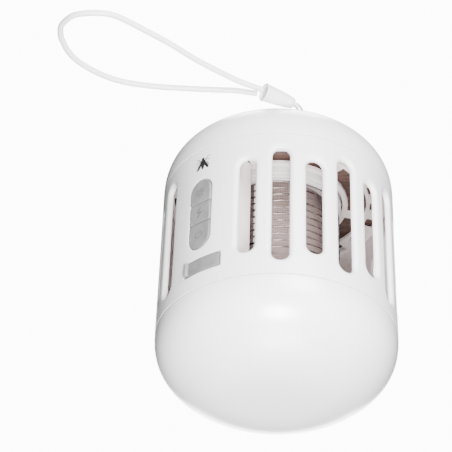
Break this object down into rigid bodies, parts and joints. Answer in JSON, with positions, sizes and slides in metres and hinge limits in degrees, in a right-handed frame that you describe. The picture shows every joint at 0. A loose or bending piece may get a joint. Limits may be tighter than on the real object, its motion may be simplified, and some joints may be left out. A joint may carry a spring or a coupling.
{
  "type": "electric bug zapper",
  "caption": "Portable bug-zapper lantern with a slotted cage round a wire grid, a light diffuser, a domed cap, keys and a hanging strap.",
  "frame": {"origin": "centre of the diffuser's flat bottom", "axes": "+Z along the lamp's axis towards the cap, -Y to the front, with the control panel at the front left"},
  "size_m": [0.1253, 0.1322, 0.1162],
  "materials": {
    "white_shell": "satin white moulding",
    "inner_white": "matt white moulding, tinted by the violet lamps",
    "frosted_diffuser": "frosted, lets light through",
    "grey_rubber": "matt",
    "key_silicone": "smooth, slightly see-through",
    "uv_sleeve": "pinkish translucent tube",
    "grid_wire": "bare wire",
    "steel": "plated",
    "brown_board": "phenolic circuit board",
    "green_board": "circuit board with solder mask",
    "cell_wrap": "shrink sleeve",
    "black_moulding": "moulded",
    "led_phosphor": "phosphor under clear resin",
    "uv_led_body": "clear violet resin",
    "strap_white": "smooth coated cord"
  },
  "bodies": {
    "housing": {"battery_cell": "cell_wrap", "battery_contact_high": "steel", "battery_contact_low": "steel", "board_housing": "inner_white", "board_screw_1": "steel", "board_screw_2": "steel", "board_screw_3": "steel", "cage_shell": "white_shell", "cap_seal": "grey_rubber", "chamber_floor": "inner_white", "charge_controller": "black_moulding", "driver_board": "brown_board", "eyelet_bar": "steel", "floor_screw_1": "steel", "floor_screw_2": "steel", "floor_screw_3": "steel", "grid_former": "inner_white", "hv_capacitor_1": "cell_wrap", "hv_capacitor_2": "cell_wrap", "hv_wire_a": "grid_wire", "hv_wire_b": "grid_wire", "key_board": "green_board", "key_switch_1": "black_moulding", "key_switch_2": "black_moulding", "key_switch_3": "black_moulding", "lamp_board": "green_board", "light_sleeve": "uv_sleeve", "step_up_transformer": "black_moulding", "top_bulkhead": "inner_white", "top_cap": "white_shell", "usb_socket": "steel", "uv_board_1": "green_board", "uv_board_2": "green_board", "uv_led_1": "uv_led_body", "uv_led_2": "uv_led_body", "uv_led_3": "uv_led_body", "uv_led_4": "uv_led_body", "white_led_1": "led_phosphor", "white_led_2": "led_phosphor", "white_led_3": "led_phosphor", "white_led_4": "led_phosphor", "white_led_5": "led_phosphor", "white_led_6": "led_phosphor", "white_led_7": "led_phosphor", "white_led_8": "led_phosphor"},
    "lamp_key": {"lamp_key": "key_silicone"},
    "zapper_key": {"zapper_key": "key_silicone"},
    "power_key": {"power_key": "key_silicone"},
    "port_cover": {"port_cover": "grey_rubber"},
    "seal_ring": {"diffuser_seal": "grey_rubber"},
    "diffuser": {"diffuser": "frosted_diffuser"},
    "strap": {"strap_string": "strap_white", "strap_clamp": "strap_white", "strap_cord": "strap_white"}
  },
  "joints": [
    {"name": "lamp_key_press", "type": "slide", "parent": "housing", "child": "lamp_key", "axis": [0.6384, 0.7697, 0], "range_m": [0, 0.0006], "stiffness_N_per_m": 1200},
    {"name": "zapper_key_press", "type": "slide", "parent": "housing", "child": "zapper_key", "axis": [0.6384, 0.7697, 0], "range_m": [0, 0.0006], "stiffness_N_per_m": 1200},
    {"name": "power_key_press", "type": "slide", "parent": "housing", "child": "power_key", "axis": [0.6384, 0.7697, 0], "range_m": [0, 0.0006], "stiffness_N_per_m": 1200},
    {"name": "port_cover_hinge", "type": "hinge", "parent": "housing", "child": "port_cover", "pos_m": [-0.02062, -0.04011, 0.03595], "axis": [0, 0, 1], "range_deg": [0, 120]},
    {"name": "diffuser_lower", "type": "slide", "parent": "housing", "child": "seal_ring", "axis": [0, 0, -1], "range_m": [0, 0.003]},
    {"name": "diffuser_unscrew", "type": "hinge", "parent": "seal_ring", "child": "diffuser", "pos_m": [0, 0, 0.02], "axis": [0, 0, -1], "range_deg": [0, 180]},
    {"name": "strap_swing", "type": "hinge", "parent": "housing", "child": "strap", "pos_m": [0, 0, 0.1124], "axis": [-0.6606, 0.7507, 0], "range_deg": [0, 90]}
  ],
  "couplings": [
    {"joint": "diffuser_lower", "follows": "diffuser_unscrew", "m_per_rad": 0.00095493}
  ]
}
